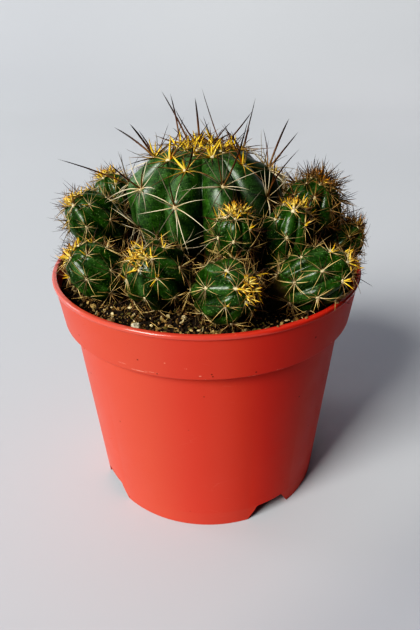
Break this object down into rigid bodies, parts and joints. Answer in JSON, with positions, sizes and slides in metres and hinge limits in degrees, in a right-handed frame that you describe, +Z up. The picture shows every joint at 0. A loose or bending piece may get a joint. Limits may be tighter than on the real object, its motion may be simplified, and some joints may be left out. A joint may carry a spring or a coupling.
{
  "type": "potted round cactus",
  "caption": "Clump of ribbed round cactus heads with long spines, growing in soil in a tapered plastic nursery pot with a collared rim and a notched foot.",
  "frame": {"origin": "on the pot's axis, in the plane that the foot of the pot stands on", "axes": "+Z up along the pot's axis, -Y towards the front, where the open patch of soil is, +X to the right seen from the front"},
  "size_m": [0.1079, 0.105, 0.1362],
  "materials": {
    "pot_plastic": "satin moulded polypropylene",
    "soil": "loose peat with pumice and grit",
    "old_flesh": "waxy skin",
    "young_flesh": "waxy skin"
  },
  "bodies": {
    "root": {"pot": "pot_plastic", "soil": "soil", "main_stem": "old_flesh", "offset_01": "young_flesh", "offset_02": "young_flesh", "offset_03": "young_flesh", "offset_04": "young_flesh", "offset_05": "young_flesh", "offset_06": "young_flesh", "offset_07": "young_flesh", "offset_08": "young_flesh", "offset_09": "young_flesh", "offset_10": "young_flesh", "offset_11": "young_flesh", "offset_12": "young_flesh", "offset_13": "young_flesh", "offset_14": "young_flesh"}
  },
  "joints": []
}
